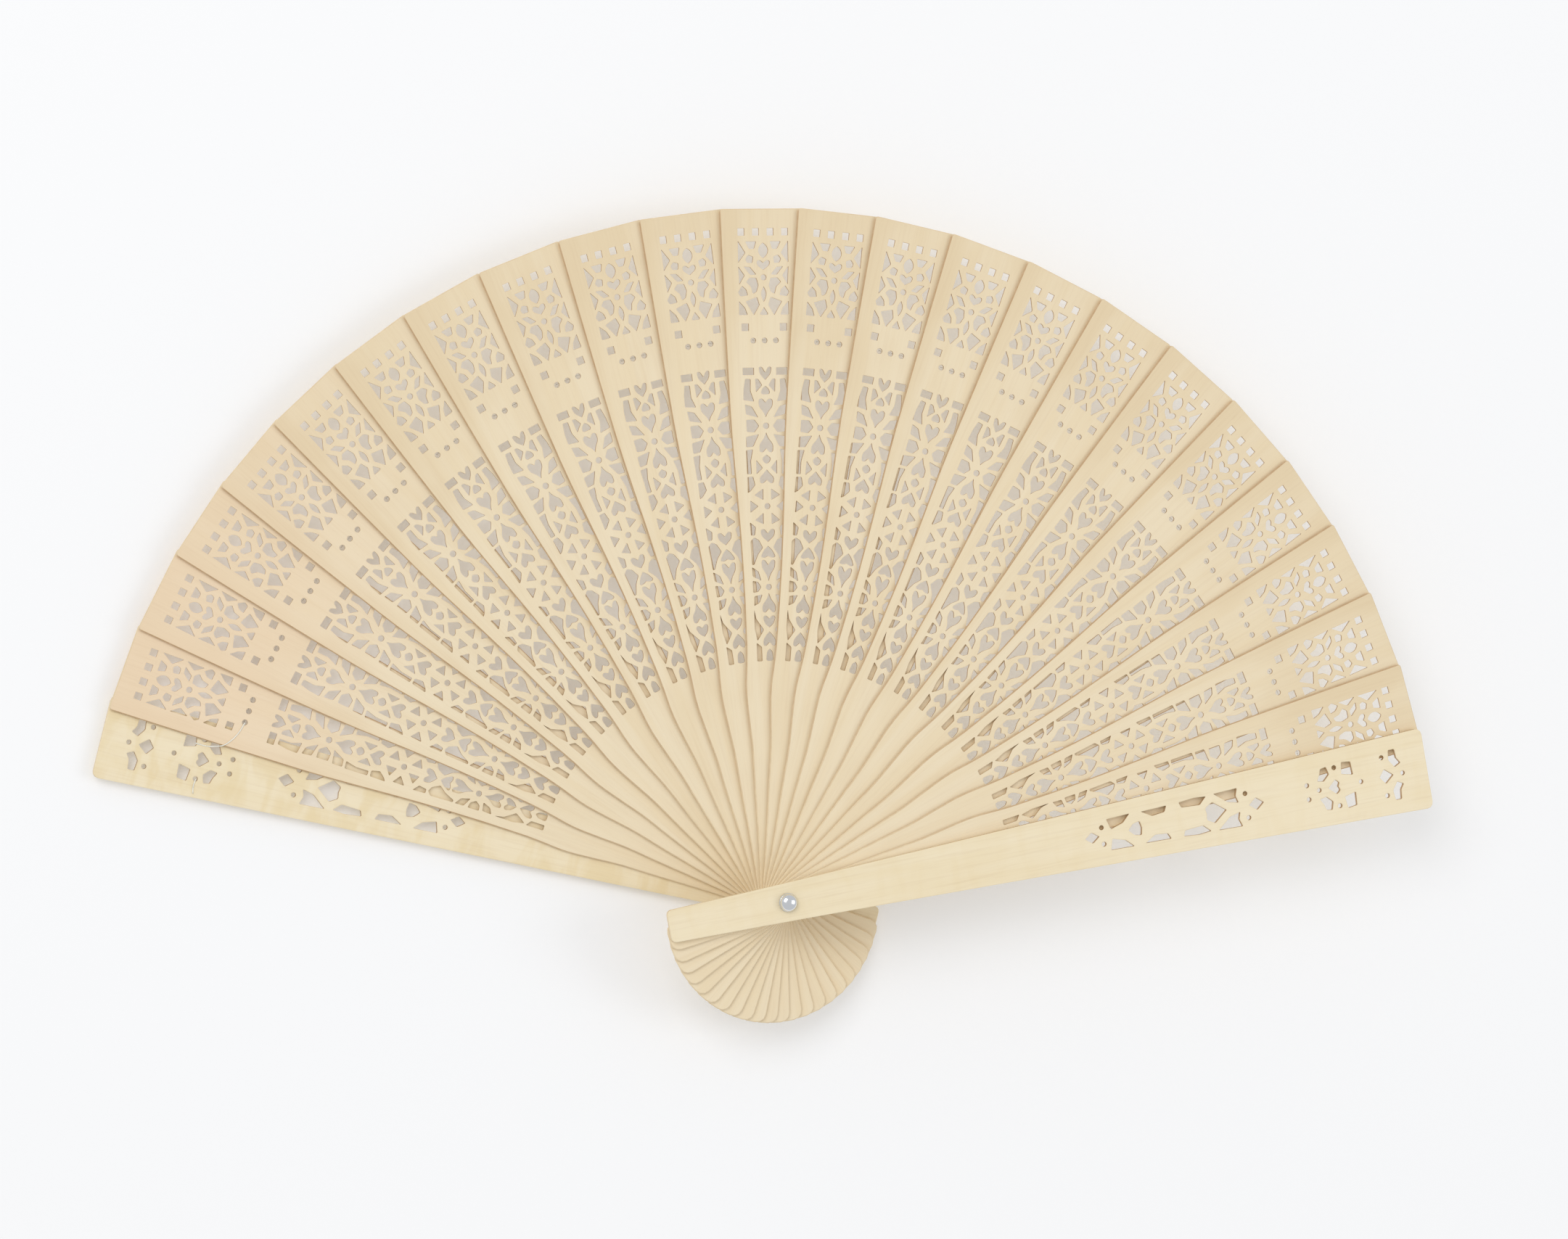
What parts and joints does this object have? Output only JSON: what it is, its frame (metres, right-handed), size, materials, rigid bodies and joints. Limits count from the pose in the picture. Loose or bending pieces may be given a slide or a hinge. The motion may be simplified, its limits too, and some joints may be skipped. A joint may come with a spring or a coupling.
{
  "type": "folding hand fan",
  "caption": "Folding brise hand fan of pierced flat wooden sticks on one rivet, joined by a thread, that opens and closes.",
  "frame": {"origin": "on the rivet's axis, at the flat back face of the rivet, which is the lowest face of the fan", "axes": "+Z along the rivet's axis from the back guard to the front guard, +Y to the tips of the middle sticks, +X to the right, as seen from the front"},
  "size_m": [0.338, 0.2022, 0.0288],
  "materials": {
    "stick_wood": "sanded bare wood",
    "guard_wood": "sanded bare wood with a fine grain",
    "rivet_steel": "polished",
    "thread": "twisted thread"
  },
  "bodies": {
    "back_guard": {"back_guard": "guard_wood", "rivet": "rivet_steel", "rear_washer": "rivet_steel", "front_washer": "rivet_steel", "thread_loose_end": "thread"},
    "stick_01": {"stick_01": "stick_wood", "thread_span_01": "thread", "thread_start": "thread"},
    "stick_02": {"stick_02": "stick_wood", "thread_span_02": "thread"},
    "stick_03": {"stick_03": "stick_wood", "thread_span_03": "thread"},
    "stick_04": {"stick_04": "stick_wood", "thread_span_04": "thread"},
    "stick_05": {"stick_05": "stick_wood", "thread_span_05": "thread"},
    "stick_06": {"stick_06": "stick_wood", "thread_span_06": "thread"},
    "stick_07": {"stick_07": "stick_wood", "thread_span_07": "thread"},
    "stick_08": {"stick_08": "stick_wood", "thread_span_08": "thread"},
    "stick_09": {"stick_09": "stick_wood", "thread_span_09": "thread"},
    "stick_10": {"stick_10": "stick_wood", "thread_span_10": "thread"},
    "stick_11": {"stick_11": "stick_wood", "thread_span_11": "thread"},
    "stick_12": {"stick_12": "stick_wood", "thread_span_12": "thread"},
    "stick_13": {"stick_13": "stick_wood", "thread_span_13": "thread"},
    "stick_14": {"stick_14": "stick_wood", "thread_span_14": "thread"},
    "stick_15": {"stick_15": "stick_wood", "thread_span_15": "thread"},
    "stick_16": {"stick_16": "stick_wood", "thread_span_16": "thread"},
    "stick_17": {"stick_17": "stick_wood", "thread_span_17": "thread"},
    "stick_18": {"stick_18": "stick_wood", "thread_span_18": "thread"},
    "stick_19": {"stick_19": "stick_wood", "thread_span_19": "thread"},
    "stick_20": {"stick_20": "stick_wood", "thread_span_20": "thread"},
    "stick_21": {"stick_21": "stick_wood", "thread_span_21": "thread"},
    "stick_22": {"stick_22": "stick_wood", "thread_span_22": "thread"},
    "front_guard": {"front_guard": "guard_wood"}
  },
  "joints": [
    {"name": "fan_fold", "type": "hinge", "parent": "back_guard", "child": "front_guard", "pos_m": [0, 0, 0], "axis": [0, 0, 1], "range_deg": [0, 155.39]},
    {"name": "stick_01_turn", "type": "hinge", "parent": "back_guard", "child": "stick_01", "pos_m": [0, 0, 0], "axis": [0, 0, 1], "range_deg": [0, 6.1]},
    {"name": "stick_02_turn", "type": "hinge", "parent": "back_guard", "child": "stick_02", "pos_m": [0, 0, 0], "axis": [0, 0, 1], "range_deg": [0, 13]},
    {"name": "stick_03_turn", "type": "hinge", "parent": "back_guard", "child": "stick_03", "pos_m": [0, 0, 0], "axis": [0, 0, 1], "range_deg": [0, 19.72]},
    {"name": "stick_04_turn", "type": "hinge", "parent": "back_guard", "child": "stick_04", "pos_m": [0, 0, 0], "axis": [0, 0, 1], "range_deg": [0, 26.34]},
    {"name": "stick_05_turn", "type": "hinge", "parent": "back_guard", "child": "stick_05", "pos_m": [0, 0, 0], "axis": [0, 0, 1], "range_deg": [0, 33]},
    {"name": "stick_06_turn", "type": "hinge", "parent": "back_guard", "child": "stick_06", "pos_m": [0, 0, 0], "axis": [0, 0, 1], "range_deg": [0, 39.82]},
    {"name": "stick_07_turn", "type": "hinge", "parent": "back_guard", "child": "stick_07", "pos_m": [0, 0, 0], "axis": [0, 0, 1], "range_deg": [0, 46.84]},
    {"name": "stick_08_turn", "type": "hinge", "parent": "back_guard", "child": "stick_08", "pos_m": [0, 0, 0], "axis": [0, 0, 1], "range_deg": [0, 53.98]},
    {"name": "stick_09_turn", "type": "hinge", "parent": "back_guard", "child": "stick_09", "pos_m": [0, 0, 0], "axis": [0, 0, 1], "range_deg": [0, 61.12]},
    {"name": "stick_10_turn", "type": "hinge", "parent": "back_guard", "child": "stick_10", "pos_m": [0, 0, 0], "axis": [0, 0, 1], "range_deg": [0, 68.14]},
    {"name": "stick_11_turn", "type": "hinge", "parent": "back_guard", "child": "stick_11", "pos_m": [0, 0, 0], "axis": [0, 0, 1], "range_deg": [0, 74.96]},
    {"name": "stick_12_turn", "type": "hinge", "parent": "back_guard", "child": "stick_12", "pos_m": [0, 0, 0], "axis": [0, 0, 1], "range_deg": [0, 81.62]},
    {"name": "stick_13_turn", "type": "hinge", "parent": "back_guard", "child": "stick_13", "pos_m": [0, 0, 0], "axis": [0, 0, 1], "range_deg": [0, 88.24]},
    {"name": "stick_14_turn", "type": "hinge", "parent": "back_guard", "child": "stick_14", "pos_m": [0, 0, 0], "axis": [0, 0, 1], "range_deg": [0, 94.96]},
    {"name": "stick_15_turn", "type": "hinge", "parent": "back_guard", "child": "stick_15", "pos_m": [0, 0, 0], "axis": [0, 0, 1], "range_deg": [0, 101.86]},
    {"name": "stick_16_turn", "type": "hinge", "parent": "back_guard", "child": "stick_16", "pos_m": [0, 0, 0], "axis": [0, 0, 1], "range_deg": [0, 108.94]},
    {"name": "stick_17_turn", "type": "hinge", "parent": "back_guard", "child": "stick_17", "pos_m": [0, 0, 0], "axis": [0, 0, 1], "range_deg": [0, 116.1]},
    {"name": "stick_18_turn", "type": "hinge", "parent": "back_guard", "child": "stick_18", "pos_m": [0, 0, 0], "axis": [0, 0, 1], "range_deg": [0, 123.2]},
    {"name": "stick_19_turn", "type": "hinge", "parent": "back_guard", "child": "stick_19", "pos_m": [0, 0, 0], "axis": [0, 0, 1], "range_deg": [0, 130.14]},
    {"name": "stick_20_turn", "type": "hinge", "parent": "back_guard", "child": "stick_20", "pos_m": [0, 0, 0], "axis": [0, 0, 1], "range_deg": [0, 136.89]},
    {"name": "stick_21_turn", "type": "hinge", "parent": "back_guard", "child": "stick_21", "pos_m": [0, 0, 0], "axis": [0, 0, 1], "range_deg": [0, 143.52]},
    {"name": "stick_22_turn", "type": "hinge", "parent": "back_guard", "child": "stick_22", "pos_m": [0, 0, 0], "axis": [0, 0, 1], "range_deg": [0, 150.17]}
  ],
  "couplings": [
    {"joint": "stick_01_turn", "follows": "fan_fold", "ratio": 0.038933},
    {"joint": "stick_02_turn", "follows": "fan_fold", "ratio": 0.083336},
    {"joint": "stick_03_turn", "follows": "fan_fold", "ratio": 0.12656},
    {"joint": "stick_04_turn", "follows": "fan_fold", "ratio": 0.16917},
    {"joint": "stick_05_turn", "follows": "fan_fold", "ratio": 0.21205},
    {"joint": "stick_06_turn", "follows": "fan_fold", "ratio": 0.25595},
    {"joint": "stick_07_turn", "follows": "fan_fold", "ratio": 0.30109},
    {"joint": "stick_08_turn", "follows": "fan_fold", "ratio": 0.34706},
    {"joint": "stick_09_turn", "follows": "fan_fold", "ratio": 0.39303},
    {"joint": "stick_10_turn", "follows": "fan_fold", "ratio": 0.43817},
    {"joint": "stick_11_turn", "follows": "fan_fold", "ratio": 0.48207},
    {"joint": "stick_12_turn", "follows": "fan_fold", "ratio": 0.52495},
    {"joint": "stick_13_turn", "follows": "fan_fold", "ratio": 0.56757},
    {"joint": "stick_14_turn", "follows": "fan_fold", "ratio": 0.61079},
    {"joint": "stick_15_turn", "follows": "fan_fold", "ratio": 0.65519},
    {"joint": "stick_16_turn", "follows": "fan_fold", "ratio": 0.70074},
    {"joint": "stick_17_turn", "follows": "fan_fold", "ratio": 0.74683},
    {"joint": "stick_18_turn", "follows": "fan_fold", "ratio": 0.79255},
    {"joint": "stick_19_turn", "follows": "fan_fold", "ratio": 0.83721},
    {"joint": "stick_20_turn", "follows": "fan_fold", "ratio": 0.88064},
    {"joint": "stick_21_turn", "follows": "fan_fold", "ratio": 0.9233},
    {"joint": "stick_22_turn", "follows": "fan_fold", "ratio": 0.96606}
  ]
}
